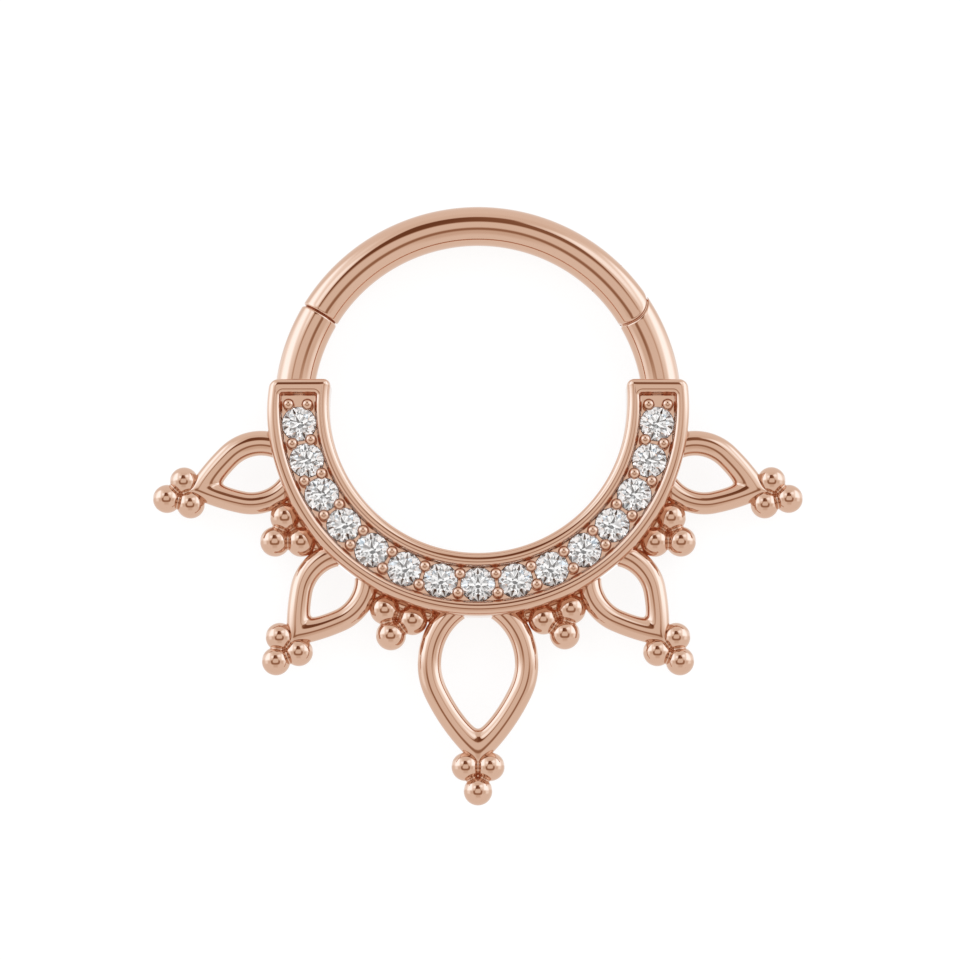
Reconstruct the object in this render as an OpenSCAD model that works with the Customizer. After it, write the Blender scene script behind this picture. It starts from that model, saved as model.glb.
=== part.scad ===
/* [Hoop] */
// Inside diameter of the round wire hoop
hoop_bore_d = 10; // [9.8:0.1:10.4]
// Thickness of the round hoop wire
wire_d = 1.2; // [1.1:0.05:1.25]
// Gap at the two seams between the gate and the fixed half
seam_gap = 0.035; // [0.03:0.005:0.05]
// Angle of the closing seam, counted from the right
closing_angle = 149.5; // [146:0.5:151]

/* [Hinge] */
// Angle of the hinge pin on the wire
pin_angle = 37.3; // [37:0.1:38]
// Thickness of the hinge pin
pin_d = 0.4; // [0.36:0.02:0.44]
// Length of the hinge pin, which stays under the wire's skin
pin_length = 1.0; // [0.9:0.02:1.0]
// Running clearance between the pin and the tongue's bore
pin_play = 0.03; // [0.02:0.005:0.04]
// Thickness of the middle tongue of the hinge
tongue_t = 0.36; // [0.3:0.02:0.4]
// Radius of the rounded end of the gate's ears
ear_r = 0.727; // [0.72:0.001:0.73]

/* [Stone channel] */
// Depth of the channel from its flat back to its rim
channel_depth = 1.5; // [1.4:0.05:1.6]
// Width of the channel from its inner to its outer wall
channel_w = 1.9; // [1.85:0.05:1.95]
// How far the channel's ends rise past the hoop's middle
channel_rise = 0.745; // [0.7:0.005:0.8]
// Width of the rim round the recess
rim_w = 0.39; // [0.38:0.01:0.4]
// Depth of the recess under the rim
recess_depth = 0.37; // [0.35:0.01:0.4]

/* [Stones] */
// Number of stones in the channel
stone_count = 15; // [15:1:15]
// Diameter of each round stone
stone_d = 1.03; // [1:0.01:1.03]
// Angle from one stone to the next
stone_pitch = 12; // [12:0.1:12.1]
// Radius of the small beads that hold the stones
prong_r = 0.16; // [0.15:0.005:0.165]

/* [Petals] */
// Thickness of the petals' round wire
petal_wire_d = 0.72; // [0.66:0.01:0.74]
// Greatest half width of the large petal, to the middle of its wire
big_petal_half_w = 1.465; // [1.4:0.01:1.5]
// Greatest half width of the small petals, to the middle of their wire
small_petal_half_w = 0.9; // [0.88:0.01:0.94]

/* [Bead clusters] */
// Radius of the beads at the petals' tips
tip_bead_r = 0.43; // [0.42:0.005:0.45]
// Radius of the beads between the petals
root_bead_r = 0.46; // [0.45:0.005:0.47]

/* [Hidden] */
$fn = 64;
small = 0.01;

// The hoop's wire runs on this circle, in the middle of the channel's depth
wire_r = wire_d / 2;
hoop_r = hoop_bore_d / 2 + wire_r;
mid_z = channel_depth / 2;

// The channel lies on the same centre as the wire
channel_in = hoop_r - 1.1;
channel_out = channel_in + channel_w;
back_round = 0.45;
rim_round = 0.16;
recess_in = channel_in + rim_w;
recess_out = channel_out - rim_w;
recess_z = channel_depth - recess_depth;
recess_end = channel_rise - 0.41;
recess_edge = 0.13;

// The stones stand on the recess floor with their girdles just above it
stone_circle = (recess_in + recess_out) / 2;
stone_r = stone_d / 2;
stone_play = 0.01;
girdle_z = recess_z + stone_play;
girdle_t = 0.03;
table_r = 0.56 * stone_r;
crown_h = 0.3 * stone_r;
pavilion_h = 0.86 * stone_r;
seat_play = 0.02;

// Two rows of beads, one against each wall of the recess
prong_inset = 0.285;
prong_z = girdle_z + girdle_t + 0.14;
prong_post_r = 0.08;

// Petals, one row each: the way the petal points, its widest half width, how far
// its widest place is from the channel, the bend of its side, the slighter bend of
// its tip, and the angle at which the side passes into the tip
PETAL_WAY = 0;
PETAL_HALF_W = 1;
PETAL_OUT = 2;
PETAL_SIDE_R = 3;
PETAL_TIP_R = 4;
PETAL_TURN = 5;
small_shape = [small_petal_half_w, 0.62, 1.38, 6.2, 28];
big_shape = [big_petal_half_w, 1.4, 2.03, 6.12, 26];
side_way = 73.4;
low_way = 38.2;
petals = [
    [270 - side_way, each small_shape],
    [270 - low_way, each small_shape],
    [270, each big_shape],
    [270 + low_way, each small_shape],
    [270 + side_way, each small_shape]
];
root_depth = 0.25;
tip_cross = 0.6;
tip_slim = 0.02;
tip_lead = 1.2;

// Clusters of three beads, one row each: the way it points, how far its pair of
// beads and its single bead are from the hoop's middle, half the distance within
// the pair, and the beads' radius
CLUSTER_WAY = 0;
CLUSTER_PAIR = 1;
CLUSTER_SINGLE = 2;
CLUSTER_HALF = 3;
CLUSTER_R = 4;
small_tip = [channel_out + 2.8, channel_out + 3.44, 0.365, tip_bead_r];
big_tip = [channel_out + 4.5, channel_out + 5.23, 0.369, tip_bead_r];
root_set = [channel_out + 0.37, channel_out + 1.03, 0.445, root_bead_r];
upper_root = 55.8;
lower_root = 20.7;
clusters = [
    for (side = [-1, 1]) each [
        [270 + side * side_way, each small_tip],
        [270 + side * low_way, each small_tip],
        [270 + side * upper_root, each root_set],
        [270 + side * lower_root, each root_set]
    ],
    [270, each big_tip]
];

// A thin web joins the clusters at the channel with the petals on both sides
web_t = 0.5;
web_out = 0.45;
web_half_angle = 8;

// The gate's ears turn on the pin; their rounded end has its own centre
pin_r = pin_d / 2;
pin_bore_r = pin_r + 0.005;
tongue_bore_r = pin_r + pin_play;
ear_angle = pin_angle - 1;
ear_inset = 0.12;
tongue_r = 0.93;
slot_r = 0.97;
slot_t = tongue_t + 0.06;

// The catch is a flat tab on the fixed half, in a slot across the gate's end
tab_t = 0.3;
tab_play = 0.04;
tab_angle = 4;
slot_angle = 4.5;
gap_angle = seam_gap / hoop_r * 180 / PI;

// The object's middle in Y, between the top of the wire and the lowest bead
reach_up = hoop_r + wire_r;
reach_down = channel_out + 5.23 + tip_bead_r;
hoop_y = (reach_down - reach_up) / 2;

metal = [0.84, 0.6, 0.5];
clear = [0.85, 0.9, 0.95, 0.6];

function stone_name(i) = str("stone_", i < 10 ? "0" : "", i);
function stone_angle(i) = 270 + (i - (stone_count + 1) / 2) * stone_pitch;
function ring_points(r, z, count, turn) =
    [for (k = [0:count - 1]) [r * cos(turn + k * 360 / count), r * sin(turn + k * 360 / count), z]];

// Turns a piece about the hoop's middle and moves it out to a radius
module polar(angle, r) {
    translate([r * cos(angle), r * sin(angle), 0])
        rotate(angle)
            children();
}

// A stretch of the round wire between two angles
module wire_arc(from, to, r = wire_r) {
    translate([0, 0, mid_z])
        rotate_extrude(angle = to - from, start = from)
            translate([hoop_r, 0])
                circle(r);
}

// A square with one rounded corner at its upper right, drawn from its middle
module rounded_side(w, h, top, bottom) {
    hull_free_corner(w, h, top);
    mirror([0, 1])
        hull_free_corner(w, h, bottom);
}

module hull_free_corner(w, h, r) {
    square([w - r, h / 2]);
    square([w, h / 2 - r]);
    translate([w - r, h / 2 - r])
        circle(r);
}

// Section of the channel: round corners at the rim, larger ones at the back
module channel_section() {
    translate([channel_in + channel_w / 2, channel_depth / 2]) {
        rounded_side(channel_w / 2, channel_depth, rim_round, back_round);
        mirror([1, 0])
            rounded_side(channel_w / 2, channel_depth, rim_round, back_round);
    }
}

module channel_body() {
    half = channel_out + 1;
    intersection() {
        rotate_extrude(angle = 200, start = 170)
            channel_section();
        translate([-half, -half, -1])
            cube([2 * half, half + channel_rise, channel_depth + 2]);
    }
}

// Section of the recess; its upper edges are rounded
module recess_section() {
    above = channel_depth - recess_edge;
    translate([recess_in, recess_z])
        square([recess_out - recess_in, recess_depth + 1]);
    for (side = [0, 1])
        translate([side == 0 ? recess_in : recess_out, above])
            mirror([1 - side, 0])
                difference() {
                    translate([-small, 0])
                        square([recess_edge + small, 1]);
                    translate([recess_edge, 0])
                        circle(recess_edge);
                }
}

module recess() {
    half = channel_out + 1;
    intersection() {
        rotate_extrude(angle = 190, start = 175)
            recess_section();
        translate([-half, -half, 0])
            cube([2 * half, half + recess_end, channel_depth + 2]);
    }
}

// A cone under each stone, a little wider than the stone's lower half
module stone_seats() {
    for (i = [1:stone_count])
        polar(stone_angle(i), stone_circle)
            translate([0, 0, girdle_z - pavilion_h - seat_play])
                cylinder(h = pavilion_h + seat_play, r1 = 0.03, r2 = stone_r + seat_play);
}

module prongs() {
    for (i = [0:stone_count])
        for (side = [-1, 1])
            polar(stone_angle(i + 0.5), stone_circle + side * prong_inset) {
                translate([0, 0, prong_z])
                    sphere(prong_r);
                translate([0, 0, recess_z - 0.1])
                    cylinder(h = prong_z - recess_z + 0.1, r = prong_post_r);
            }
}

// A bend of round wire from a little before the X axis on
module bend(r, wire, before, angle) {
    rotate_extrude(angle = angle + before, start = -before)
        translate([r, 0])
            circle(wire / 2);
}

// Half a petal, drawn from the place where the side passes into the tip: one bend
// goes back to the root, the other, a hair slimmer and let into the first, goes on
// past the middle line
module petal_side(p) {
    side_r = p[PETAL_SIDE_R];
    tip_r = p[PETAL_TIP_R];
    turn = p[PETAL_TURN];
    across = p[PETAL_HALF_W] - side_r;
    root_turn = asin((p[PETAL_OUT] + root_depth) / side_r);
    tip_across = (tip_r - side_r) * cos(turn) - across;
    tip_turn = 90 - turn - asin((tip_across - tip_cross) / tip_r);
    translate([channel_out + p[PETAL_OUT], across, mid_z])
        rotate(90 - turn) {
            bend(side_r, petal_wire_d, 0, turn + root_turn);
            translate([side_r - tip_r, 0])
                mirror([0, 1])
                    bend(tip_r, petal_wire_d - tip_slim, tip_lead, tip_turn);
        }
}

// The two halves are mitred at the tip
module petal(p) {
    reach = channel_out + p[PETAL_OUT] + p[PETAL_TIP_R];
    for (side = [0, 1])
        mirror([0, side])
            intersection() {
                petal_side(p);
                cube([reach, reach, channel_depth]);
            }
}

module cluster(c) {
    middle = (2 * c[CLUSTER_PAIR] + c[CLUSTER_SINGLE]) / 3;
    for (side = [-1, 1])
        translate([c[CLUSTER_PAIR], side * c[CLUSTER_HALF], mid_z])
            rotate(side * 65)
                sphere(c[CLUSTER_R]);
    translate([c[CLUSTER_SINGLE], 0, mid_z])
        sphere(c[CLUSTER_R]);
    translate([middle, 0, mid_z - web_t / 2])
        cylinder(h = web_t, r = c[CLUSTER_R] * 0.7);
}

module web(way) {
    rotate_extrude(angle = 2 * web_half_angle, start = way - web_half_angle)
        translate([channel_out - 0.2, mid_z - web_t / 2])
            square([web_out + 0.2, web_t]);
}

// A flat disc of the wire's middle layer about the pin
module pin_disc(r, t) {
    polar(pin_angle, hoop_r)
        translate([0, 0, mid_z - t / 2])
            cylinder(h = t, r = r);
}

module ear_end(r) {
    polar(ear_angle, hoop_r - ear_inset)
        cylinder(h = channel_depth, r = r);
}

module tongue() {
    intersection() {
        wire_arc(pin_angle - 15, pin_angle + 15);
        pin_disc(tongue_r, tongue_t);
    }
}

// A flat layer of the wire's middle at the closing seam, between two angles
module catch_layer(before, after, t) {
    translate([0, 0, mid_z - t / 2])
        rotate_extrude(angle = before + after, start = closing_angle - before)
            translate([hoop_r - wire_d, 0])
                square([2 * wire_d, t]);
}

module catch_tab() {
    intersection() {
        wire_arc(closing_angle - tab_angle - 1, closing_angle + 2);
        catch_layer(tab_angle, 1, tab_t);
    }
}

// Cast in one piece: channel, wire ends, petals, beads, webs, tongue and tab
module hoop_frame() {
    color(metal)
        translate([0, hoop_y, 0])
            difference() {
                union() {
                    difference() {
                        union() {
                            channel_body();
                            wire_arc(closing_angle + gap_angle / 2, 178);
                            difference() {
                                wire_arc(2, ear_angle);
                                ear_end(ear_r + seam_gap);
                            }
                            for (p = petals)
                                rotate(p[PETAL_WAY])
                                    petal(p);
                            for (c = clusters)
                                rotate(c[CLUSTER_WAY])
                                    cluster(c);
                            for (side = [-1, 1], way = [upper_root, lower_root])
                                web(270 + side * way);
                        }
                        recess();
                        stone_seats();
                    }
                    prongs();
                    tongue();
                    catch_tab();
                }
                pin_disc(tongue_bore_r, channel_depth);
            }
}

// The upper part of the hoop, which swings out on the pin
module gate() {
    color(metal)
        translate([0, hoop_y, 0])
            difference() {
                union() {
                    wire_arc(ear_angle, closing_angle - gap_angle / 2);
                    intersection() {
                        wire_arc(ear_angle - 15, ear_angle + 5);
                        ear_end(ear_r);
                    }
                }
                pin_disc(slot_r, slot_t);
                pin_disc(pin_bore_r, pin_length + 0.02);
                catch_layer(slot_angle, 1, tab_t + tab_play);
            }
}

module hinge_pin() {
    color("silver")
        translate([0, hoop_y, 0])
            pin_disc(pin_r, pin_length);
}

// Round brilliant: a flat table in the middle of the crown, eight kites and eight
// star facets round it, a thin girdle, and a pointed pavilion of eight mains
module brilliant() {
    main = 8;
    edge = 16;
    step = 360 / main;
    star_r = 0.79 * stone_r;
    star_z = crown_h * (stone_r - star_r * cos(step / 2)) / (stone_r - table_r);
    low_r = 0.25 * stone_r;
    low_z = -pavilion_h * (stone_r - low_r * cos(step / 2)) / stone_r;
    points = concat(
        ring_points(table_r, girdle_t + crown_h, main, 0),
        ring_points(star_r, girdle_t + star_z, main, step / 2),
        ring_points(stone_r, girdle_t, edge, 0),
        ring_points(stone_r, 0, edge, 0),
        ring_points(low_r, low_z, main, step / 2),
        [[0, 0, -pavilion_h]]
    );
    star = main;
    top = star + main;
    bottom = top + edge;
    low = bottom + edge;
    tip = low + main;
    faces = concat(
        [[for (k = [main - 1:-1:0]) k]],
        [for (k = [0:main - 1]) [k, (k + 1) % main, star + k]],
        [for (k = [0:main - 1]) [k, star + k, top + 2 * k, star + (k + main - 1) % main]],
        [for (k = [0:main - 1]) [star + k, top + 2 * k + 1, top + 2 * k]],
        [for (k = [0:main - 1]) [star + k, top + (2 * k + 2) % edge, top + 2 * k + 1]],
        [for (k = [0:edge - 1]) [top + k, top + (k + 1) % edge, bottom + (k + 1) % edge, bottom + k]],
        [for (k = [0:main - 1]) [low + k, bottom + 2 * k, bottom + 2 * k + 1]],
        [for (k = [0:main - 1]) [low + k, bottom + 2 * k + 1, bottom + (2 * k + 2) % edge]],
        [for (k = [0:main - 1]) [tip, low + (k + main - 1) % main, bottom + 2 * k, low + k]]
    );
    polyhedron(points, faces);
}

module stone(i) {
    color(clear)
        translate([0, hoop_y, 0])
            polar(stone_angle(i), stone_circle)
                translate([0, 0, girdle_z])
                    rotate(17 * i)
                        brilliant();
}

hoop_frame();
gate();
hinge_pin();
for (i = [1:stone_count]) stone(i);
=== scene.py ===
import bpy
import numpy as np
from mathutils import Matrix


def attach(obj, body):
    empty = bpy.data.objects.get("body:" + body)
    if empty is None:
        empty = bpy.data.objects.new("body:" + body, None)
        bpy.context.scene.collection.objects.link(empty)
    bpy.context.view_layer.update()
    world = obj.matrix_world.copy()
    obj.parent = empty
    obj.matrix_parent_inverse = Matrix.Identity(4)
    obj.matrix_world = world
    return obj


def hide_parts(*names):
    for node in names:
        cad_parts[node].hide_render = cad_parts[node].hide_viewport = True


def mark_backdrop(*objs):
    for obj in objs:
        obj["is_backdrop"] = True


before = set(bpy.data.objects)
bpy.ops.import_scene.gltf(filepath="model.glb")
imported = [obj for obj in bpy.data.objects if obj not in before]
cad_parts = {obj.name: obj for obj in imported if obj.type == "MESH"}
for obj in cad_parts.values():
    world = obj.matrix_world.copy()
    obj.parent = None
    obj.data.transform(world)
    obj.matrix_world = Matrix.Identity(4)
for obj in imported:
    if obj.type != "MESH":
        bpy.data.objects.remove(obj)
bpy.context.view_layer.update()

# The stone channel
# A cast rose gold trough that runs round the lower half of the hoop. Its rim is
# rounded on both edges, its ends are cut level and its back is flat, and it is
# polished all over before the stones go in.

MM = 0.001
HOOP_Y = 2.93
MID_Z = 0.75
CHANNEL_IN, CHANNEL_OUT = 4.5, 6.4
CHANNEL_DEPTH = 1.5
CHANNEL_END = 0.775
STONE_CIRCLE = 5.45
END_CORNER = np.array([0.28, 0.2])
END_SHIFT, END_TAPER, END_REACH = 0.022, 0.035, 0.7
LEAST_CORNER, LEAST_RECESS_CORNER = 0.004, 0.01
RIM_ROUND, END_ROUND, END_DROP = 0.25, 0.2, 0.15
BACK_ROUND, END_BACK = 0.45, 0.15
RECESS_IN, RECESS_OUT = 4.92, 5.975
RECESS_END = 0.335
RECESS_CORNER = 0.06
RECESS_ROUND = 0.165
FLOOR_FILLET = 0.05
FLOOR_Z = 1.13
UNDER_Z = 0.6


def linear(hex_colour):
    """An sRGB hex value as the linear colour that a shader takes."""
    value = np.array([int(hex_colour[i:i + 2], 16) for i in (1, 3, 5)]) / 255
    value = np.where(value <= 0.04045, value / 12.92, ((value + 0.055) / 1.055) ** 2.4)
    return (*value.tolist(), 1.0)


def add_node(tree, kind, inputs=None, **settings):
    """Adds a node, sets its settings, and sets or links its inputs."""
    node = tree.nodes.new(kind)
    for name, value in settings.items():
        setattr(node, name, value)
    for key, value in (inputs or {}).items():
        if isinstance(value, bpy.types.NodeSocket):
            tree.links.new(value, node.inputs[key])
        else:
            node.inputs[key].default_value = value
    return node


def polished_metal(name, colour, roughness, grain_mm):
    """Cast metal, polished with a mop. The eye gets clean mirror lines, with a
    trace of the mop's fine waves and a polish that is not quite even. After the third
    mirroring the metal gives out a painted glow in its own colour, in place of further
    mirrorings, so deep corners glow dark red."""
    material = bpy.data.materials.new(name)
    material.use_nodes = True
    tree = material.node_tree
    shader = tree.nodes["Principled BSDF"]
    where = add_node(tree, "ShaderNodeTexCoord")
    waves = add_node(tree, "ShaderNodeTexNoise",
                     {"Vector": where.outputs["Object"], "Scale": 1 / (grain_mm * MM),
                      "Detail": 3.0, "Roughness": 0.5})
    polish = add_node(tree, "ShaderNodeMapRange",
                      {"Value": waves.outputs["Fac"], "From Min": 0.3, "From Max": 0.7,
                       "To Min": roughness * 0.7, "To Max": roughness * 1.3})
    bump = add_node(tree, "ShaderNodeBump",
                    {"Height": waves.outputs["Fac"], "Strength": 0.02,
                     "Distance": 0.02 * MM})
    # Painted glow: from the third mirroring on, the metal lights itself in its own colour, standing
    # in for the light of further mirrorings in deep corners.
    mirrored = add_node(tree, "ShaderNodeLightPath").outputs["Glossy Depth"]
    deep = add_node(tree, "ShaderNodeMapRange",
                    {"Value": mirrored, "From Min": 2.0, "From Max": 3.0, "To Max": 0.3})
    shader.inputs["Base Color"].default_value = linear(colour)
    shader.inputs["Metallic"].default_value = 1.0
    shader.inputs["Emission Color"].default_value = linear(colour)
    tree.links.new(deep.outputs[0], shader.inputs["Emission Strength"])
    tree.links.new(polish.outputs["Result"], shader.inputs["Roughness"])
    tree.links.new(bump.outputs["Normal"], shader.inputs["Normal"])
    return material


# Polished rose gold: the eye gets pale pink where it mirrors the white panels, and
# brown lines where it mirrors what is dark between them.
rose_gold = polished_metal("polished_rose_gold", "#D6B19A", 0.05, 0.9)
# Rose gold that the mop can't reach, inside the catch: it stays dull. Its colour is
# darkened as painted shade, which gives the dark red line of the seam.
dull_gold_painted_shade = polished_metal("dull_rose_gold_painted_seam_shade", "#9C5638", 0.5, 0.3)


def make_piece(name, points, faces, material, body, slot, stands_for=(), sharp_deg=40):
    """Puts points in mm about the hoop's centre, and lists of face arrays, into one
    closed mesh. Points that meet are merged, and edges sharper than the limit stay
    crisp."""
    mesh = bpy.data.meshes.new(name)
    metres = (points + [0, HOOP_Y, 0]) * MM
    mesh.from_pydata(metres.tolist(), [], [face for part in faces for face in part])
    mesh.validate()
    piece = bpy.data.objects.new(name, mesh)
    bpy.context.collection.objects.link(piece)
    merge = piece.modifiers.new("merge", "WELD")
    merge.merge_threshold = 2e-7
    bpy.context.view_layer.update()
    merged = bpy.data.meshes.new_from_object(
        piece.evaluated_get(bpy.context.evaluated_depsgraph_get()))
    piece.modifiers.clear()
    piece.data = merged
    bpy.data.meshes.remove(mesh)
    merged.name = name
    merged.polygons.foreach_set("use_smooth", np.ones(len(merged.polygons), bool))
    merged.set_sharp_from_angle(angle=np.radians(sharp_deg))
    merged.materials.clear()
    merged.materials.append(material)
    merged.update()
    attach(piece, body)
    if stands_for:
        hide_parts(*stands_for)
    return piece


def grid_faces(rows, columns, first=0, close_columns=False, flip=False):
    """Quads between neighbours of a grid of points, stored row by row."""
    row = np.arange(rows - 1)[:, None]
    column = np.arange(columns if close_columns else columns - 1)[None, :]
    after = (column + 1) % columns
    quads = np.stack([row * columns + column, row * columns + after,
                      (row + 1) * columns + after, (row + 1) * columns + column], -1)
    quads = quads.reshape(-1, 4) + first
    return (quads[:, ::-1] if flip else quads).tolist()


def band_outline(r_in, r_out, y_end, corner, arc_n=260, corner_n=10, end_n=14):
    """Outline of a band between two radii, below a level line. In turn: outer arc
    through the bottom, round corner, level end, round corner, inner arc back, and
    the same on the left. The share of the level end in each point comes with it."""
    corner = np.broadcast_to(corner, 2)
    reach = np.array([r_out, r_in]) + corner * [-1, 1]
    centre_y = y_end - corner
    centre_x = np.sqrt(reach ** 2 - centre_y ** 2)
    lean = np.arctan2(centre_y, centre_x)
    along = np.linspace(np.pi - lean[0], 2 * np.pi + lean[0], arc_n)
    back = np.linspace(2 * np.pi + lean[1], np.pi - lean[1], arc_n)
    turn = np.linspace(0, 1, corner_n + 2)[1:-1]
    first = lean[0] + (np.pi / 2 - lean[0]) * turn
    second = np.pi / 2 + (np.pi / 2 + lean[1]) * turn
    half = np.concatenate([
        np.c_[centre_x[0] + corner[0] * np.cos(first), centre_y[0] + corner[0] * np.sin(first)],
        np.c_[np.linspace(centre_x[0], centre_x[1], end_n), np.full(end_n, y_end)],
        np.c_[centre_x[1] + corner[1] * np.cos(second), centre_y[1] + corner[1] * np.sin(second)]])
    level = np.concatenate([turn, np.ones(end_n), 1 - turn])
    outline = np.concatenate([
        r_out * np.c_[np.cos(along), np.sin(along)], half,
        r_in * np.c_[np.cos(back), np.sin(back)], (half * [-1, 1])[::-1]])
    return outline, np.concatenate([0 * along, level, 0 * back, level[::-1]])


def channel_surface():
    """Each row is an outline set in or out by a quarter circle's run, at the height of
    the quarter circle: the back's rounding, the wall, the rim's outer rounding, its
    inner rounding, the recess wall and the hollow at its foot. The level ends have a
    rounding of their own, and towards them each point is drawn in a little to the
    middle line and moved a little to the right."""
    turn = np.radians(np.linspace(0, 90, 13))
    rows = []

    def add(inset, height, end_inset, end_height):
        corner = np.maximum(END_CORNER - (inset + end_inset) / 2, LEAST_CORNER)
        flat, level = band_outline(CHANNEL_IN + inset, CHANNEL_OUT - inset,
                                   CHANNEL_END - end_inset, corner)
        share = np.clip((flat[:, 1] + END_REACH) / (CHANNEL_END + END_REACH), 0, 1)
        drawn = share ** 2 * END_TAPER * (1 - STONE_CIRCLE / np.hypot(*flat.T))
        flat = flat * (1 - drawn)[:, None] + np.c_[END_SHIFT * share ** 2, 0 * share]
        rows.append(np.c_[flat, height + (end_height - height) * level])

    for a in turn:
        run, rise = 1 - np.sin(a), 1 - np.cos(a)
        add(BACK_ROUND * run, BACK_ROUND * rise, END_BACK * run, END_BACK * rise)
    for part in np.linspace(0, 1, 5)[1:]:
        top = CHANNEL_DEPTH - RIM_ROUND
        end_top = CHANNEL_DEPTH - END_DROP
        add(0, BACK_ROUND + (top - BACK_ROUND) * part, 0, END_BACK + (end_top - END_BACK) * part)
    for a in turn[1:]:
        run, drop = 1 - np.cos(a), 1 - np.sin(a)
        add(RIM_ROUND * run, CHANNEL_DEPTH - RIM_ROUND * drop,
            END_ROUND * run, CHANNEL_DEPTH - END_DROP * drop)
    sides = [(RECESS_ROUND * (1 - np.cos(a)), CHANNEL_DEPTH - RECESS_ROUND * (1 - np.sin(a)))
             for a in turn[::-1]]
    foot = [(-FLOOR_FILLET * (1 - np.cos(a)), FLOOR_Z + FLOOR_FILLET * (1 - np.sin(a)))
            for a in turn[:-1]]
    for outset, height in [*sides, *foot, (foot[-1][0], UNDER_Z)]:
        flat = band_outline(RECESS_IN - outset, RECESS_OUT + outset, RECESS_END + outset,
                            max(RECESS_CORNER + outset, LEAST_RECESS_CORNER))[0]
        rows.append(np.c_[flat, np.full(len(flat), height)])
    points, count = np.concatenate(rows), len(rows[0])
    faces = [grid_faces(len(rows), count, close_columns=True),
             [list(range(count))[::-1]],
             [list(range((len(rows) - 1) * count, len(rows) * count))]]
    return points, faces


make_piece("channel", *channel_surface(), rose_gold, "frame", "hoop_frame", ("hoop_frame",))

# The seats
# The channel's floor, drilled with one cone for each stone, so that only narrow
# webs of gold are left between them. It is the same casting as the channel.

STONE_COUNT = 15
STONE_PITCH = np.radians(12)
STONE_R = 0.515
SEAT_R = 0.53
SEAT_BOTTOM = 0.64
INTO_WALL = 0.02
SEAT_PLATE_Z = UNDER_Z + 0.01
stone_angles = np.radians(270) + (np.arange(STONE_COUNT) - STONE_COUNT // 2) * STONE_PITCH


def seats_surface(side_n=14):
    """One cell for each stone: four sides of the cell, drawn in towards the seat's
    circle, then down its cone. Level end plates close the row, and a skirt and an
    underside shut the whole plate."""
    r_in, r_out = RECESS_IN - INTO_WALL, RECESS_OUT + INTO_WALL
    half = STONE_PITCH / 2
    step = np.linspace(-1, 1, side_n, endpoint=False)
    across = (r_in + r_out) / 2 + (r_out - r_in) / 2 * step
    radius = np.concatenate([np.full(side_n, r_out), across[::-1] + (across[1] - across[0]),
                             np.full(side_n, r_in), across])
    turned = half * np.concatenate([step, np.ones(side_n), -step, -np.ones(side_n)])
    points, faces, first = [], [], 0
    loop = 4 * side_n
    for angle in stone_angles:
        rim = np.c_[radius * np.cos(angle + turned), radius * np.sin(angle + turned)]
        centre = STONE_CIRCLE * np.array([np.cos(angle), np.sin(angle)])
        way = np.arctan2(*(rim - centre).T[::-1])
        circle = centre + SEAT_R * np.c_[np.cos(way), np.sin(way)]
        inset = np.linspace(0, 1, 5)[:, None, None]
        top = rim + (circle - rim) * inset
        top = np.concatenate([top, np.full(top.shape[:2] + (1,), FLOOR_Z)], -1)
        narrow = np.linspace(1, 0.04, 8)[:, None, None]
        cone = centre + (circle - centre) * narrow
        depth = FLOOR_Z + (SEAT_BOTTOM - FLOOR_Z) * (1 - narrow)
        cone = np.concatenate([cone, np.broadcast_to(depth, cone.shape[:2] + (1,))], -1)
        under = np.c_[rim, np.full(loop, SEAT_PLATE_Z)]
        points += [top.reshape(-1, 3), cone.reshape(-1, 3), under]
        faces.append(grid_faces(5, loop, first, True))
        faces.append(grid_faces(8, loop, first + 5 * loop, True))
        faces.append([list(range(first + 12 * loop, first + 13 * loop))])
        faces.append([list(range(first + 13 * loop, first + 14 * loop))[::-1]])
        edge = [k for k in range(loop) if k < side_n or 2 * side_n <= k < 3 * side_n]
        faces.append([[first + k, first + 13 * loop + k,
                       first + 13 * loop + (k + 1) % loop, first + (k + 1) % loop]
                      for k in edge])
        first += 14 * loop
    for side in (-1, 1):
        wide = np.linspace(r_in, r_out, side_n)
        top_x = np.sqrt(wide ** 2 - (RECESS_END + INTO_WALL) ** 2)
        rows = [np.c_[side * wide, 0 * wide],
                np.c_[side * top_x, 0 * wide + RECESS_END + INTO_WALL]]
        plate = np.concatenate([np.c_[row, np.full(side_n, z)]
                                for row, z in ((rows[0], SEAT_PLATE_Z), (rows[0], FLOOR_Z),
                                               (rows[1], FLOOR_Z), (rows[1], SEAT_PLATE_Z))])
        points.append(plate)
        faces.append(grid_faces(4, side_n, first, flip=side < 0))
        first += len(plate)
    return np.concatenate(points), faces


make_piece("seats", *seats_surface(), rose_gold, "frame", "hoop_frame", ("hoop_frame",))

# The stones' beads
# Small grains of gold raised from the floor in pairs between the stones and pushed
# over their edges with a round tool, which leaves each one a polished ball.

PRONG_R = 0.18
PRONG_POST = 0.1
PRONG_Z = 1.315
PRONG_INSET = 0.285
PRONG_SINK = 0.03
prong_angles = np.append(stone_angles - STONE_PITCH / 2, stone_angles[-1] + STONE_PITCH / 2)


def turned_shape(profile, centres, around_n):
    """A profile of radius and height, turned about an upright line through each
    centre. The profile starts and ends on that line."""
    turn = np.linspace(0, 2 * np.pi, around_n, endpoint=False)
    ring = np.stack([np.cos(turn), np.sin(turn)], -1)
    one = np.concatenate([profile[:, None, :1] * ring,
                          np.broadcast_to(profile[:, None, 1:], (len(profile), around_n, 1))], -1)
    one = one.reshape(-1, 3)
    points = (centres[:, None, :] + one).reshape(-1, 3)
    faces = [grid_faces(len(profile), around_n, k * len(one), True)
             for k in range(len(centres))]
    return points, faces


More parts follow.
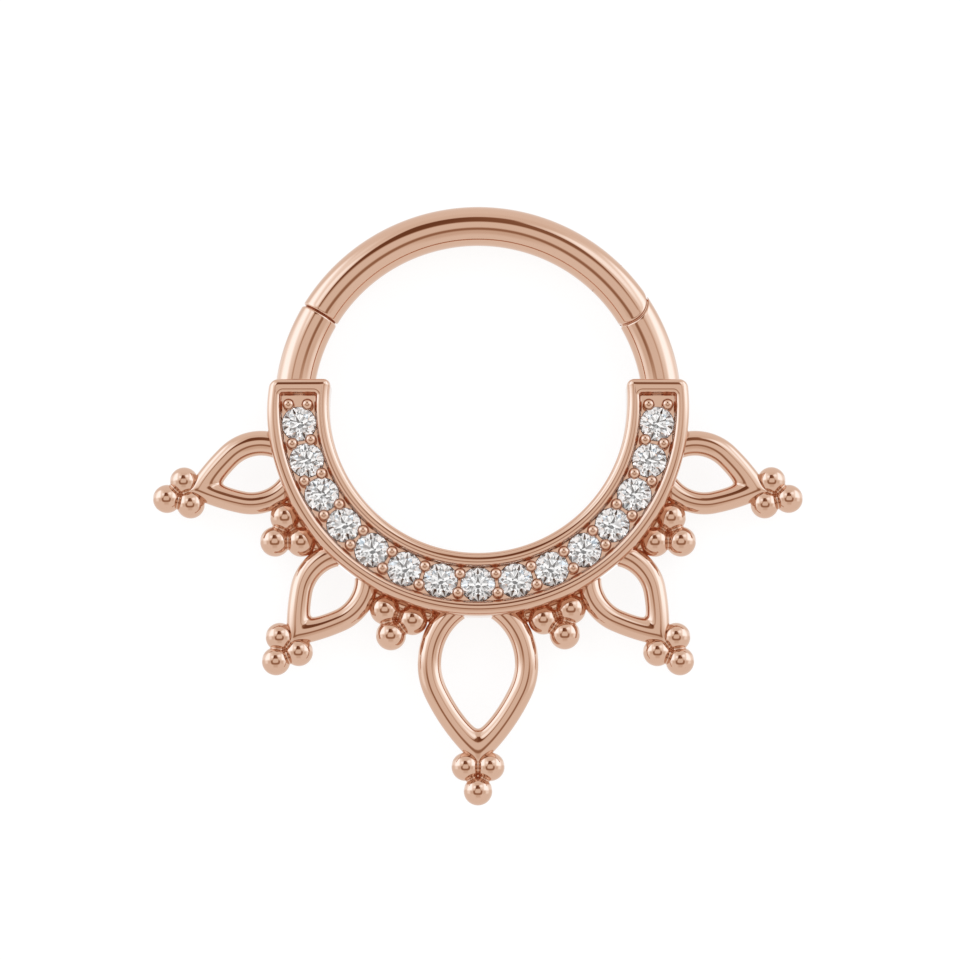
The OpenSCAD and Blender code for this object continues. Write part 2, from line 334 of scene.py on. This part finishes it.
def ball_profile(radius, neck=0.0, foot=0.0, steps=24):
    """Radius and height of a ball from its lowest to its highest point, or from the
    foot of its neck."""
    lowest = -np.arccos(np.clip(neck / radius, 0, 1))
    lift = np.linspace(lowest, np.pi / 2, steps)
    ball = np.c_[radius * np.cos(lift), radius * np.sin(lift)]
    ball[-1, 0] = 0
    if neck:
        return np.concatenate([[[0, foot], [neck, foot]], ball])
    ball[0, 0] = 0
    return ball


prong_centres = np.array([[radius * np.cos(angle), radius * np.sin(angle), PRONG_Z]
                          for radius in (STONE_CIRCLE - PRONG_INSET, STONE_CIRCLE + PRONG_INSET)
                          for angle in prong_angles])
prong_profile = ball_profile(PRONG_R, PRONG_POST, FLOOR_Z - PRONG_SINK - PRONG_Z, 18)
make_piece("stone_beads", *turned_shape(prong_profile, prong_centres, 36),
           rose_gold, "frame", "hoop_frame", ("hoop_frame",))

# The hoop's wire
# Round rose gold wire, 1.2 mm thick, bent on a 10 mm bore. The fixed ends are
# soldered into the channel; the gate between them ends in two ears that turn on a
# pin at the right, and in a slot that takes a flat tab at the left.

HOOP_R = 5.6
WIRE_R = 0.6
SEAM_GAP, CATCH_GAP = 0.035, 0.038
CLOSING = np.radians(149.5)
PIN_ANGLE = np.radians(37.3)
EAR_ANGLE = np.radians(36.3)
EAR_INSET = 0.12
EAR_R = 0.727
TONGUE_R, SLOT_R = 0.96, 0.97
TONGUE_T, SLOT_T = 0.41, 0.42
NOTCH_R, COLLAR_R, TONGUE_SKIN_R = 0.55, 0.51, 0.597
TAB_T, TAB_SLOT_T, TAB_W = 0.3, 0.34, 0.7
TAB_PLAY_W, TAB_PLAY_T = 0.04, 0.01
TONGUE_BACK, NOTCH_SHORT = 0.25, 0.03
WIRE_FOOT = np.radians(5.4)
TAB_ANGLE, TAB_SLOT_ANGLE = np.radians(4), np.radians(4.5)
HALF_GAP = CATCH_GAP / HOOP_R / 2


def circle_cut(radius, centre_r, centre_angle, side):
    """Angle at which a circle about a centre on the hoop crosses each radius, on the
    side of larger or smaller angles."""
    def cut(at):
        cosine = (at ** 2 + centre_r ** 2 - radius ** 2) / (2 * at * centre_r)
        return centre_angle + side * np.arccos(np.clip(cosine, -1, 1))
    return cut


def straight_cut(angle):
    """The same angle at every radius."""
    return lambda at: np.full_like(at, angle)


LAYER = SLOT_T / 2
EDGE = 0.07
spread = np.linspace(np.arcsin(LAYER / WIRE_R), np.pi - np.arcsin(LAYER / WIRE_R), 53)
spread = np.cos(spread) / np.cos(spread[0])
side_steps = np.linspace(1, -1, 9)


def place(at, angle, height):
    """Points at a radius, angle and height, about the hoop's centre."""
    at, angle, height = np.broadcast_arrays(at, angle, height)
    return np.stack([at * np.cos(angle), at * np.sin(angle), MID_Z + height], -1)


def wire_section(radius):
    """The wire's circle, once round: above the slot's layer, its inner side, below the
    layer and its outer side. Points keep their share of the layer's width."""
    wide = np.sqrt(radius ** 2 - LAYER ** 2)
    upper = wide * spread
    upper_z = np.sqrt(radius ** 2 - upper ** 2)
    side_z = LAYER * side_steps[1:-1] + 0 * radius
    side = np.sqrt(radius ** 2 - side_z ** 2)
    return (HOOP_R + np.concatenate([upper, -side, upper[:, ::-1], side], -1),
            np.concatenate([upper_z, side_z, -upper_z[:, ::-1], -side_z], -1))


def wire_rows(begin, finish, begin_edge, finish_edge, along_n):
    """Radius, share of the way and step along the wire for each row. At a rounded
    end the radius and the step follow a quarter circle."""
    quarter = np.radians(np.linspace(0, 90, 8))
    lip = np.c_[WIRE_R - EDGE * (1 - np.cos(quarter)), 0 * quarter, EDGE * (1 - np.sin(quarter))]
    way = np.linspace(0, 1, along_n)
    rows = [np.c_[0 * way + WIRE_R, way, EDGE * (begin_edge * (1 - way) - finish_edge * way)]]
    if begin_edge:
        rows.insert(0, lip[:0:-1])
    if finish_edge:
        rows.append(lip[1:] * [1, 0, -1] + [0, 1, 0])
    radius, way, step = np.concatenate(rows).T[:, :, None]
    return radius, lambda at: begin(at) * (1 - way) + finish(at) * way + step / at


def wire_end(at, height, cut, pocket=None):
    """Rows that shut a wire's end: its last circle drawn in to a point on the cut, or
    to the outline of a pocket and then down its walls."""
    flat, rise = at - HOOP_R, height
    if not pocket:
        share = np.array([0.8, 0.6, 0.4, 0.2, 0.03])[:, None]
        return HOOP_R + flat * share, rise * share, cut(HOOP_R + flat * share)
    half_w, half_t, bottom = pocket
    scale = 1 / np.maximum(np.abs(flat) / half_w, np.abs(rise) / half_t)
    share = np.array([0.5, 1, 1, 1])[:, None]
    new_at = HOOP_R + flat * (1 - share) + flat * scale * share
    new_rise = rise * (1 - share) + rise * scale * share
    deep = np.array([0, 0, 0.5, 1])[:, None]
    return new_at, new_rise, cut(new_at) * (1 - deep) + bottom(new_at) * deep


def wire_piece(name, begin, finish, begin_edge, finish_edge, body, slot, stands_for,
               begin_shut=True, pocket=None, along_n=150, extra=()):
    """Full wire between two cuts with both ends shut, or with its beginning left
    for other surfaces to shut."""
    radius, angle_of = wire_rows(begin, finish, begin_edge, finish_edge, along_n)
    at, height = wire_section(radius)
    angle = angle_of(at)
    end = wire_end(at[-1], height[-1], finish, pocket)
    blocks = [(at, height, angle), end]
    if begin_shut:
        blocks.insert(0, [block[::-1] for block in wire_end(at[0], height[0], begin)])
    at, height, angle = [np.concatenate(block) for block in zip(*blocks)]
    count, rows = at.shape[1], at.shape[0]
    points = [place(at, angle, height).reshape(-1, 3)]
    faces = [grid_faces(rows, count, 0, True),
             [list(range((rows - 1) * count, rows * count))]]
    if begin_shut:
        faces.append([list(range(count))[::-1]])
    first = rows * count
    for surface, flip in extra:
        points.append(surface.reshape(-1, 3))
        faces.append(grid_faces(*surface.shape[:2], first, flip=flip))
        first += len(points[-1])
    return make_piece(name, np.concatenate(points), faces, rose_gold, body, slot, stands_for, 35)


def ears_surface(cut, bottom):
    """The layers above and below the slot, from the ears' rounded ends to the slot's
    bottom: end wall, skin, the slot's flat sides, and the slot's bottom."""
    radius, angle_of = wire_rows(cut, bottom, True, False, 14)
    wide = np.sqrt(radius ** 2 - LAYER ** 2)
    across = wide * spread
    skin_z = np.sqrt(radius ** 2 - across ** 2)
    angle = angle_of(HOOP_R + across)
    rise = np.linspace(0, 1, 7)[:, None]
    wall_z = LAYER + (skin_z[:1] - LAYER) * rise
    surfaces = []
    for sign in (1, -1):
        flip = sign < 0
        surfaces += [(place(HOOP_R + across, angle, sign * skin_z), flip),
                     (place(HOOP_R + across, angle, sign * LAYER), not flip),
                     (place(HOOP_R + across[:1], angle[:1], sign * wall_z), flip)]
    floor_z = LAYER * side_steps[:, None]
    floor_at = HOOP_R + np.sqrt(WIRE_R ** 2 - floor_z ** 2) * spread
    surfaces.append((place(floor_at, bottom(floor_at), floor_z), False))
    return surfaces


def plate_piece(name, half_w, half_t, rows, finish=rose_gold):
    """A flat tongue along the wire: its section is a rectangle, cut off by a circle
    about the wire's middle, and each row gives its cut and the circle's radius. The
    first and the last row are drawn in to a point."""
    around = np.linspace(0, 2 * np.pi, 96, endpoint=False)
    wide, high = np.cos(around), np.sin(around)
    box = np.minimum(half_w / np.maximum(np.abs(wide), 1e-9),
                     half_t / np.maximum(np.abs(high), 1e-9))
    rows = [(cut, radius, 1) for cut, radius in rows]
    shut = [[(*row[:2], share) for share in (0.05, 0.5)] for row in (rows[0], rows[-1])]
    points = []
    for cut, radius, share in shut[0] + rows + shut[1][::-1]:
        reach = np.minimum(box, radius) * share
        at = HOOP_R + reach * wide
        points.append(place(at, cut(at), reach * high))
    count = len(points)
    faces = [grid_faces(count, 96, 0, True), [list(range((count - 1) * 96, count * 96))],
             [list(range(96))[::-1]]]
    return make_piece(name, np.concatenate(points), faces, finish, "frame", "hoop_frame",
                      ("hoop_frame",), 35)


def moved(cut, step):
    """A cut moved along the wire."""
    return lambda at: cut(at) + step / at


def ways(first, last, count):
    """Cuts evenly between two cuts."""
    return [lambda at, part=part: first(at) * (1 - part) + last(at) * part
            for part in np.linspace(0, 1, count)]


ear = circle_cut(EAR_R, HOOP_R - EAR_INSET, EAR_ANGLE, -1)
ear_seat = circle_cut(EAR_R + SEAM_GAP, HOOP_R - EAR_INSET, EAR_ANGLE, -1)
slot_bottom = circle_cut(SLOT_R, HOOP_R, PIN_ANGLE, 1)
tongue_tip = circle_cut(TONGUE_R, HOOP_R, PIN_ANGLE, 1)
wire_piece("gate_wire", slot_bottom, straight_cut(CLOSING - HALF_GAP), False, True,
           "gate", "gate", ("gate",), False,
           (TAB_W / 2 + TAB_PLAY_W, TAB_SLOT_T / 2 + TAB_PLAY_T,
            straight_cut(CLOSING - TAB_SLOT_ANGLE)),
           extra=ears_surface(ear, slot_bottom))
wire_piece("hinge_side_wire", straight_cut(WIRE_FOOT), ear_seat, False, True,
           "frame", "hoop_frame", ("hoop_frame",), along_n=60)
wire_piece("catch_side_wire", straight_cut(CLOSING + HALF_GAP), straight_cut(np.pi - WIRE_FOOT),
           True, False, "frame", "hoop_frame", ("hoop_frame",), along_n=60)
tongue_rows = [(moved(ear_seat, -TONGUE_BACK), NOTCH_R),
               (moved(ear, EDGE - NOTCH_SHORT), NOTCH_R)]
tongue_rows += [(cut, TONGUE_SKIN_R) for cut in ways(moved(ear, EDGE), tongue_tip, 14)]
plate_piece("hinge_tongue", WIRE_R, TONGUE_T / 2, tongue_rows)
tab_cuts = straight_cut(CLOSING - TAB_ANGLE), straight_cut(CLOSING + TAB_ANGLE)
plate_piece("catch_tab", TAB_W / 2, TAB_T / 2, [(cut, WIRE_R) for cut in tab_cuts])
# The collar is a plug of darkened gold inside the catch's seam, below the wire's skin: painted
# shade for the seam's dark line.
collar_cuts = straight_cut(CLOSING - HALF_GAP * 0.8), straight_cut(CLOSING + 2 * HALF_GAP)
plate_piece("catch_collar_painted_shade", WIRE_R, WIRE_R, [(cut, COLLAR_R) for cut in collar_cuts], dull_gold_painted_shade)

# The hinge pin
# A short drawn steel pin through both ears and the tongue, ground flush and hidden
# under the wire's skin. It stays as the solid gives it.

# Drawn steel: plain grey with a soft, dull shine.
steel = polished_metal("drawn_steel", "#B9BABD", 0.3, 0.05)
hinge_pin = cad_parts["hinge_pin"]
hinge_pin.data.materials.clear()
hinge_pin.data.materials.append(steel)

# The petals
# Five leaf-shaped loops of round wire, each bent from one length, closed in a mitre
# at the tip and soldered to the channel's outer wall by both ends.

PETAL_WIRE_R = 0.36
PETAL_ROOT = 0.25
SIDE_WAY, LOW_WAY = 73.4, 38.2
SMALL = dict(half_w=0.9, out=0.62, side_r=1.38, tip_r=6.2, turn=np.radians(28), round_tip=0.075)
BIG = dict(half_w=1.465, out=1.4, side_r=2.03, tip_r=6.12, turn=np.radians(26), round_tip=0.13)
PETALS = [(270 - SIDE_WAY, SMALL, 0.0, 0.04), (270 - LOW_WAY, SMALL, 0.055, 0.0),
          (270, BIG, 0.0, 0.0),
          (270 + LOW_WAY, SMALL, 0.055, 0.0), (270 + SIDE_WAY, SMALL, 0.0, 0.04)]


def petal_surface(way, hole_out, hole_drop, half_w, out, side_r, tip_r, turn, round_tip,
                  around_n=64, side_n=70, tip_n=70):
    """Half of the loop is two bends that pass into each other: a point is the bend's
    centre plus the bend's radius, plus the wire's own circle turned with it. In the
    tip's bend each line along the wire stops at the middle plane, and the square of
    its distance from there is made smaller, which rounds the inner lines' corner. The
    other half is its mirror image. The hole's side of the wire is moved a little, out
    along the petal or down."""
    ring = np.linspace(0, 2 * np.pi, around_n, endpoint=False)
    wide, high = PETAL_WIRE_R * np.cos(ring), PETAL_WIRE_R * np.sin(ring)
    centre_u, centre_v = CHANNEL_OUT + out, half_w - side_r
    root = np.arcsin((out + PETAL_ROOT) / side_r)
    bend = np.linspace(root, -turn, side_n)[:, None]
    u = [centre_u - (side_r + wide) * np.sin(bend)]
    v = [centre_v + (side_r + wide) * np.cos(bend)]
    tip_u = centre_u - (tip_r - side_r) * np.sin(turn)
    tip_v = centre_v - (tip_r - side_r) * np.cos(turn)
    soft = round_tip * (1 - ((1 + np.cos(ring)) / 2) ** 6) + 1e-6
    stop = np.arccos((soft - tip_v) / (tip_r + wide))
    bend = turn + (stop - turn) * np.linspace(0, 1, tip_n)[1:, None]
    u.append(tip_u + (tip_r + wide) * np.sin(bend))
    v.append(tip_v + (tip_r + wide) * np.cos(bend))
    u, v = np.concatenate(u), np.concatenate(v)
    near = np.exp(-0.5 * ((v - soft) / (3 * soft)) ** 2)
    v = np.sqrt(np.maximum(v ** 2 - (soft * near) ** 2, 0))
    z = np.broadcast_to(MID_Z + high, u.shape)
    c, s = np.cos(np.radians(way)), np.sin(np.radians(way))
    points, faces = [], []
    for side in (1, -1):
        inner = ((1 - np.cos(ring)) / 2) ** 2
        far = u + hole_out * inner
        half = np.stack([far * c - side * v * s, far * s + side * v * c - hole_drop * inner, z], -1)
        first = (side < 0) * u.size
        points.append(half.reshape(-1, 3))
        faces.append(grid_faces(*u.shape, first, True, flip=side > 0))
        cap = list(range(first, first + around_n))
        faces.append([cap if side > 0 else cap[::-1]])
    return np.concatenate(points), faces


for number, (way, shape, hole_out, hole_drop) in enumerate(PETALS, 1):
    make_piece(f"petal_{number}", *petal_surface(way, hole_out, hole_drop, **shape),
               rose_gold, "frame", "hoop_frame", ("hoop_frame",), 30)

# The bead clusters
# Shot of rose gold, soldered in threes: one three at each petal's tip and one in
# each gap between petals, where a thin web behind them carries them on the channel.
# A smaller ball sits low in the middle of each three.

GAP_WAYS = [56.2, 20.7]
# Way in degrees, the pair's and the single bead's distance from the channel, half the
# distance between the pair, and the beads' radius.
CLUSTERS = [
    (270, 4.5, 5.23, 0.369, 0.43),
    (270 - LOW_WAY, 2.8, 3.44, 0.365, 0.43),
    (270 + LOW_WAY, 2.8, 3.44, 0.365, 0.43),
    (270 - SIDE_WAY, 2.8, 3.44, 0.365, 0.43),
    (270 + SIDE_WAY, 2.78, 3.43, 0.37, 0.43),
    (270 - GAP_WAYS[0], 0.335, 0.99, 0.445, 0.46),
    (270 + GAP_WAYS[0], 0.335, 0.99, 0.445, 0.46),
    (270 - GAP_WAYS[1], 0.37, 1.03, 0.445, 0.46),
    (270 + GAP_WAYS[1], 0.35, 1.0, 0.445, 0.46),
]

FILLET_R = 0.03
FILLET_HIDE, FILLET_STEP, FILLET_CORE = 0.04, 0.05, 0.02


def solder_fillets(centres, radius, around_n=72, along_n=11):
    """The hollow ring that solder leaves round the place where two balls meet. Its
    profile is an arc that touches both balls, turned about the line between their
    centres, and it is shut at both ends inside the balls."""
    turn = np.linspace(0, 2 * np.pi, around_n, endpoint=False)[:, None]
    points, faces, first = [], [], 0
    for one, two in ((0, 1), (0, 2), (1, 2)):
        middle, line = (centres[one] + centres[two]) / 2, centres[two] - centres[one]
        half = np.linalg.norm(line) / 2
        line = line / (2 * half)
        across = np.array([-line[1], line[0], 0])
        ring_r = np.sqrt((radius + FILLET_R) ** 2 - half ** 2)
        touch = FILLET_R * half / (radius + FILLET_R)
        along = np.linspace(-touch, touch, along_n)
        reach = ring_r - np.sqrt(FILLET_R ** 2 - along ** 2)
        hide = touch + FILLET_HIDE
        along = np.concatenate([[-hide, -hide], along, [hide, hide]])
        reach = np.concatenate([[FILLET_CORE, reach[0] - FILLET_STEP], reach,
                                [reach[-1] - FILLET_STEP, FILLET_CORE]])
        grid = (middle + along[:, None, None] * line
                + reach[:, None, None] * (np.cos(turn) * across + np.sin(turn) * [0, 0, 1]))
        points.append(grid.reshape(-1, 3))
        last = first + (len(grid) - 1) * around_n
        faces += [grid_faces(len(grid), around_n, first, True, flip=True),
                  [list(range(first, first + around_n))],
                  [list(range(last, last + around_n))[::-1]]]
        first = last + around_n
    return np.concatenate(points), faces


for number, (way, pair_out, single_out, half, radius) in enumerate(CLUSTERS, 1):
    out = np.array([np.cos(np.radians(way)), np.sin(np.radians(way)), 0])
    side = np.array([-out[1], out[0], 0])
    centres = np.array([out * (CHANNEL_OUT + pair_out) + side * half,
                        out * (CHANNEL_OUT + pair_out) - side * half,
                        out * (CHANNEL_OUT + single_out)]) + [0, 0, MID_Z]
    make_piece(f"beads_{number}", *turned_shape(ball_profile(radius, steps=49), centres, 96),
               rose_gold, "frame", "hoop_frame", ("hoop_frame",))
    make_piece(f"bead_solder_{number}", *solder_fillets(centres, radius),
               rose_gold, "frame", "hoop_frame", ("hoop_frame",))

WEB_R, WEB_Z = 0.24, 0.62
WEB_OUT = 0.1
WEB_HALF = np.radians(9.5)
WEB_WAYS = [270 + side * way for way in GAP_WAYS for side in (-1, 1)]
HEART_R, HEART_Z = 0.2, 0.5


def web_surface(way, around_n=32, along_n=24):
    """A round bar along the channel's wall: its circle is carried along the arc, and
    is drawn in to a point at both ends by the quarter circle's run."""
    lean = np.linspace(0, 2 * np.pi, around_n, endpoint=False)
    quarter = np.radians(np.linspace(2, 90, 8))
    reach = WEB_R / (CHANNEL_OUT + WEB_OUT)
    end = WEB_HALF - reach * (1 - np.cos(quarter))
    along = np.linspace(-1, 1, along_n)[1:-1] * (WEB_HALF - reach)
    angle = np.radians(way) + np.concatenate([-end, along, end[::-1]])[:, None]
    radius = WEB_R * np.concatenate([np.sin(quarter), np.ones(along_n - 2),
                                     np.sin(quarter)[::-1]])[:, None]
    r = CHANNEL_OUT + WEB_OUT + radius * np.cos(lean)
    grid = np.stack([r * np.cos(angle), r * np.sin(angle), WEB_Z + radius * np.sin(lean)], -1)
    last = (len(grid) - 1) * around_n
    faces = [grid_faces(len(grid), around_n, close_columns=True, flip=True),
             [list(range(around_n))], [list(range(last, last + around_n))[::-1]]]
    return grid.reshape(-1, 3), faces


for number, way in enumerate(WEB_WAYS, 1):
    make_piece(f"web_{number}", *web_surface(way),
               rose_gold, "frame", "hoop_frame", ("hoop_frame",))

heart_places = []
for way, pair_out, single_out, half, radius in CLUSTERS:
    run = single_out - pair_out
    out = CHANNEL_OUT + single_out - (half ** 2 + run ** 2) / (2 * run)
    heart_places.append([out * np.cos(np.radians(way)), out * np.sin(np.radians(way)), HEART_Z])
heart_profile = ball_profile(HEART_R, steps=25)
make_piece("bead_hearts", *turned_shape(heart_profile, np.array(heart_places), 48),
           rose_gold, "frame", "hoop_frame", ("hoop_frame",))

# The stones
# Fifteen clear round brilliants, 1 mm across, cut with a table, stars, kites and
# halves above a thin girdle, and eight mains and their halves below it.

GIRDLE_Z = 1.14
GIRDLE_T = 0.03
TABLE_R = 0.56 * STONE_R
CROWN_H = 0.3 * STONE_R
PAVILION_H = 0.86 * STONE_R
STAR_R = 0.79 * STONE_R
LOW_R = 0.25 * STONE_R
STONE_TWIST = 17


def clear_stone():
    """Cubic zirconia, cut and polished flat: clear as water, with a high index that
    turns light round inside and gives black and white facets."""
    material = bpy.data.materials.new("cut_clear_stone")
    material.use_nodes = True
    shader = material.node_tree.nodes["Principled BSDF"]
    shader.inputs["Base Color"].default_value = linear("#FFFFFF")
    shader.inputs["Transmission Weight"].default_value = 1.0
    shader.inputs["Roughness"].default_value = 0.0
    shader.inputs["IOR"].default_value = 2.35
    return material


def ring(radius, height, count, turn):
    """Points evenly round an upright line."""
    way = turn + np.arange(count) * 2 * np.pi / count
    return np.c_[radius * np.cos(way), radius * np.sin(way), np.full(count, height)]


def brilliant():
    """The cut's corners. A kite's plane goes through a table corner and the girdle
    below it, so the star points' height follows from their radius, and the same holds
    for the mains below."""
    step = np.pi / 8
    star_z = CROWN_H * (STONE_R - STAR_R * np.cos(step)) / (STONE_R - TABLE_R)
    low_z = -PAVILION_H * (STONE_R - LOW_R * np.cos(step)) / STONE_R
    points = np.concatenate([
        ring(TABLE_R, GIRDLE_T + CROWN_H, 8, 0), ring(STAR_R, GIRDLE_T + star_z, 8, step),
        ring(STONE_R, GIRDLE_T, 16, 0), ring(STONE_R, 0, 16, 0),
        ring(LOW_R, low_z, 8, step), [[0, 0, -PAVILION_H]]])
    star, top, bottom, low, culet = 8, 16, 32, 48, 56
    faces = [list(range(8))]
    for k in range(8):
        nxt, before = (k + 1) % 8, (k + 7) % 8
        near, mid, far = 2 * k, 2 * k + 1, (2 * k + 2) % 16
        faces += [[k, star + k, nxt],
                  [k, star + before, top + near, star + k],
                  [star + k, top + near, top + mid], [star + k, top + mid, top + far],
                  [top + near, bottom + near, bottom + mid, top + mid],
                  [top + mid, bottom + mid, bottom + far, top + far],
                  [low + k, bottom + mid, bottom + near], [low + k, bottom + far, bottom + mid],
                  [culet, low + k, bottom + near, low + before]]
    return points, faces


stone_material = clear_stone()
cut_points, cut_faces = brilliant()
for number, angle in enumerate(stone_angles, 1):
    turn = angle + np.radians(STONE_TWIST * number)
    c, s = np.cos(turn), np.sin(turn)
    cut = cut_points @ np.array([[c, s, 0], [-s, c, 0], [0, 0, 1]])
    cut = cut + [STONE_CIRCLE * np.cos(angle), STONE_CIRCLE * np.sin(angle), GIRDLE_Z]
    node = f"stone_{number:02d}"
    make_piece(f"brilliant_{number:02d}", cut, [cut_faces], stone_material,
               "frame", "stone", (node,), 1)

# The studio
# A plain white card under the hoop, and a soft surround: two large white panels at
# the left and right, and a dark card and a dim ring near the lens. All its places
# are degrees from straight up, across to the right and up to the gate.

FLOOR_HALF = 60


def studio_floor():
    """Plain white card, matt."""
    material = bpy.data.materials.new("white_card")
    material.use_nodes = True
    shader = material.node_tree.nodes["Principled BSDF"]
    shader.inputs["Base Color"].default_value = linear("#7A7A7A")
    shader.inputs["Roughness"].default_value = 0.9
    shader.inputs["Emission Color"].default_value = linear("#FFFFFF")
    shader.inputs["Emission Strength"].default_value = 0.86
    mesh = bpy.data.meshes.new("floor")
    corner = FLOOR_HALF * MM
    mesh.from_pydata([(-corner, -corner, 0), (corner, -corner, 0),
                      (corner, corner, 0), (-corner, corner, 0)], [], [(0, 1, 2, 3)])
    mesh.materials.append(material)
    piece = bpy.data.objects.new("floor", mesh)
    bpy.context.collection.objects.link(piece)
    piece.visible_glossy = False
    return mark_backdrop(piece)


studio_floor()

world = bpy.data.worlds.new("studio")
bpy.context.scene.world = world
world.use_nodes = True
tree = world.node_tree
tree.nodes.clear()


def work(operation, *values):
    """One step of arithmetic on the surround's direction."""
    inputs = dict(enumerate(values))
    return add_node(tree, "ShaderNodeMath", inputs, operation=operation).outputs[0]


def ramp(value, low, high):
    """0 below the lower limit, 1 above the upper one, eased between them."""
    inputs = {"Value": value, "From Min": low, "From Max": high}
    return add_node(tree, "ShaderNodeMapRange", inputs,
                    interpolation_type="SMOOTHERSTEP").outputs[0]


def patch(*parts):
    """Where all the parts hold."""
    whole = parts[0]
    for part in parts[1:]:
        whole = work("MULTIPLY", whole, part)
    return whole


way = add_node(tree, "ShaderNodeTexCoord").outputs["Generated"]
split = add_node(tree, "ShaderNodeSeparateXYZ", {0: way})
flat = work("SQRT", work("ADD", work("MULTIPLY", split.outputs[0], split.outputs[0]),
                         work("MULTIPLY", split.outputs[1], split.outputs[1])))
from_top = work("MULTIPLY", work("ARCCOSINE", split.outputs[2]), 180 / np.pi)
reach = work("DIVIDE", from_top, work("MAXIMUM", flat, 1e-4))
across = work("MULTIPLY", split.outputs[0], reach)
side = work("ABSOLUTE", across)
up = work("MULTIPLY", split.outputs[1], reach)


def below(value, low, high):
    """1 below the lower limit, 0 above the upper one, eased between them."""
    return work("SUBTRACT", 1.0, ramp(value, low, high))


def between(low_value, high_value, share):
    """A level that goes from one value to the other with the share."""
    return add_node(tree, "ShaderNodeMix", {0: share, 2: low_value, 3: high_value}).outputs[0]


def distance(from_across, from_up, squeeze=1.0):
    """Degrees from a direction, with those across counted in full or in part."""
    run = work("MULTIPLY", work("SUBTRACT", across, from_across), squeeze)
    rise = work("SUBTRACT", up, from_up)
    return work("SQRT", work("ADD", work("MULTIPLY", run, run), work("MULTIPLY", rise, rise)))


ring_side = work("POWER", work("DIVIDE", work("ABSOLUTE", work("ADD", across, 1.5)), 31.0), 4.0)
ring_low = work("POWER", work("DIVIDE", work("ABSOLUTE", work("SUBTRACT", up, 8.0)), 32.5), 4.0)
from_ring = work("MULTIPLY", work("POWER", work("ADD", ring_side, ring_low), 0.25), 32.0)
floor_fade = below(from_top, 78, 116)
panel_edge = patch(below(up, 60, 84), floor_fade)
panels = patch(ramp(side, 38, 60), panel_edge, ramp(up, -4, 18))
panel_feet = patch(ramp(side, 58, 78), panel_edge, ramp(up, -32, -12))
shade = patch(ramp(side, 36, 44), below(side, 54, 70), ramp(up, -28, -16), below(up, -6, 6))
upper_sides = patch(ramp(side, 20, 36), ramp(up, 6, 26), below(up, 48, 75))
upper_middle = patch(below(side, 20, 45), ramp(up, 44, 50), below(up, 60, 80))
lower_middle = patch(below(side, 8, 30), below(up, -36, -28), ramp(up, -68, -40))
right_lamp = below(distance(28.0, 41.0, 0.85), 5, 17)
left_lamp = below(distance(-29.0, 32.0), 4, 14)
dark_ring = patch(below(work("ABSOLUTE", work("SUBTRACT", from_ring, 32.0)), 2.0, 13.0),
                  below(up, -6, 13))
from_leg = work("ABSOLUTE", work("SUBTRACT", work("ADD", side, work("MULTIPLY", up, 0.42)), 25.3))
legs = patch(below(from_leg, 1.0, 7.0), ramp(up, -16, -6), below(up, 14, 24))
card_right = between(15.5, 8.0, ramp(up, 30, 40))
card_left = work("SUBTRACT", work("MULTIPLY", up, 0.2), 23.1)
dark_card = patch(ramp(work("SUBTRACT", across, card_left), -2.5, 2.5),
                  below(work("SUBTRACT", across, card_right), -2.5, 2.5),
                  ramp(up, 11, 22), below(up, 42.5, 51))

level = between(0.95, 1.0, ramp(from_top, 20, 42))
LEVELS = [
    (upper_middle, 0.92), (lower_middle, 0.76), (shade, 0.85), (upper_sides, 1.3),
    (panel_feet, 1.38), (panels, 2.05), (right_lamp, 1.7), (left_lamp, 1.7),
    (legs, between(0.55, 0.66, ramp(across, -8, 8))), (dark_ring, 0.24),
    (dark_card, between(0.09, 0.17, ramp(across, -8, 8))),
]
for mask, value in LEVELS:
    level = between(level, value, mask)
tint = [work("POWER", level, power) for power in (0.66, 1.0, 1.27)]
colour = add_node(tree, "ShaderNodeCombineXYZ", dict(enumerate(tint))).outputs[0]
glow = add_node(tree, "ShaderNodeBackground", {"Color": colour, "Strength": 1.0})
paths = add_node(tree, "ShaderNodeLightPath").outputs
# The stones see the same surround without its tint, evened out, and with a dark disc at
# the lens and a dark band round it, which gives near-black facets among the white ones.
stone_level = between(work("MULTIPLY", work("POWER", level, 0.6), 1.2), 0.02,
                      below(distance(0.0, -7.0), 9, 15))
from_band = work("ABSOLUTE", work("SUBTRACT", from_top, 39))
stone_level = between(stone_level, 0.1, below(from_band, 2, 6))
stone_glow = add_node(tree, "ShaderNodeBackground", {"Color": stone_level, "Strength": 1.0})
lit = add_node(tree, "ShaderNodeMixShader",
               {0: paths["Is Transmission Ray"], 1: glow.outputs[0], 2: stone_glow.outputs[0]})
# The camera itself sees plain white beyond the card.
plain = add_node(tree, "ShaderNodeBackground", {"Color": linear("#FFFFFF"), "Strength": 1.0})
shown = add_node(tree, "ShaderNodeMixShader",
                 {0: paths["Is Camera Ray"], 1: lit.outputs[0], 2: plain.outputs[0]})
add_node(tree, "ShaderNodeOutputWorld", {"Surface": shown.outputs[0]})

# The camera
# A long lens above the hoop, 7 degrees off its normal towards the large petal, as
# the photograph has it. Its place is in mm from the middle of the hoop's wire.

PICTURE_PX, FOCAL_PX = 960, 3065.8
SENSOR_W = 36
CAMERA_X, CAMERA_Y, CAMERA_Z = 0.04, -13.5645, 92.3666
CAMERA_TURN = (0.122084, -0.000213, 0)

lens = bpy.data.cameras.new("camera")
lens.sensor_width = SENSOR_W
lens.lens = FOCAL_PX / PICTURE_PX * SENSOR_W
lens.clip_start = 0.001
camera = bpy.data.objects.new("camera", lens)
camera.location = (CAMERA_X * MM, (HOOP_Y + CAMERA_Y) * MM, (MID_Z + CAMERA_Z) * MM)
camera.rotation_euler = CAMERA_TURN
bpy.context.collection.objects.link(camera)
bpy.context.scene.camera = camera
bpy.context.scene.view_settings.view_transform = "Standard"
